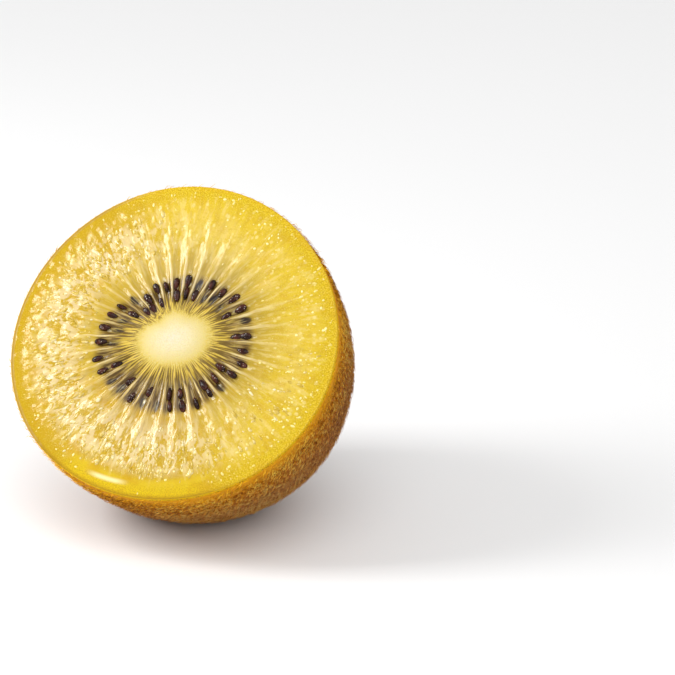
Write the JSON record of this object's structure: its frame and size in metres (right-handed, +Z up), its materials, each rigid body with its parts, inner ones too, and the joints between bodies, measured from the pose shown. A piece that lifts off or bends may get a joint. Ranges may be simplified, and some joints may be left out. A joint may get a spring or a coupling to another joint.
{
  "type": "halved golden kiwi fruit",
  "caption": "Half of a golden kiwi fruit cut across the middle, lying on its side with the seeded yellow cut face looking up and out.",
  "frame": {"origin": "centre of the small flat spot that the half rests on", "axes": "+Z up from the surface it rests on; the cut face looks towards -Y, 40 degrees above the horizontal, and the stem end points to +Y and down; X runs across the cut"},
  "size_m": [0.0546, 0.0504, 0.0522],
  "materials": {
    "skin": "matt, finely mottled, thin and leathery",
    "flesh": "wet and translucent, with pale rays from the core",
    "core": "satin, cream and opaque",
    "seed": "smooth and shiny, near black with a red cast",
    "fuzz": "short stiff golden-brown hairs",
    "stem_scar": "dry, torn and corky"
  },
  "bodies": {
    "root": {"skin": "skin", "flesh": "flesh"}
  },
  "joints": []
}
